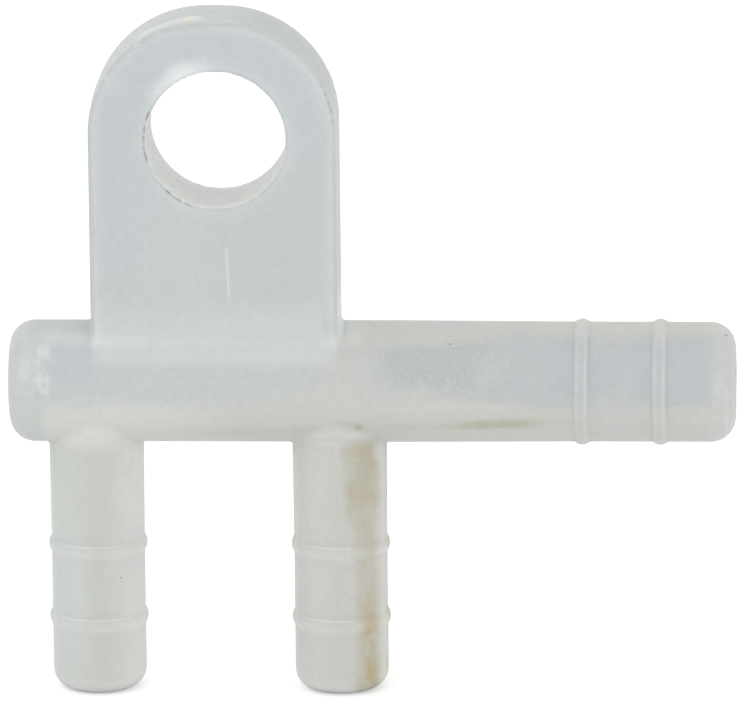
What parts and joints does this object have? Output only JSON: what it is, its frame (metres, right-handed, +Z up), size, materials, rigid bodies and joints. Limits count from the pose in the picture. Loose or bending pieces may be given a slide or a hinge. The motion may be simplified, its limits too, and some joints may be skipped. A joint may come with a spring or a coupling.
{
  "type": "hose connector",
  "caption": "Moulded hose manifold with a level barrel, two hanging hose stubs, small round beads and a flat fixing lug with a large hole.",
  "frame": {"origin": "centre of the lug's hole, midway through the lug", "axes": "+X along the barrel to its open end, +Y through the lug's hole away from the viewer, +Z up from the barrel to the lug's top"},
  "size_m": [0.0536, 0.0094, 0.0512],
  "materials": {
    "natural_plastic": "milky translucent moulded plastic with a soft sheen"
  },
  "bodies": {
    "root": {"connector_body": "natural_plastic"}
  },
  "joints": []
}
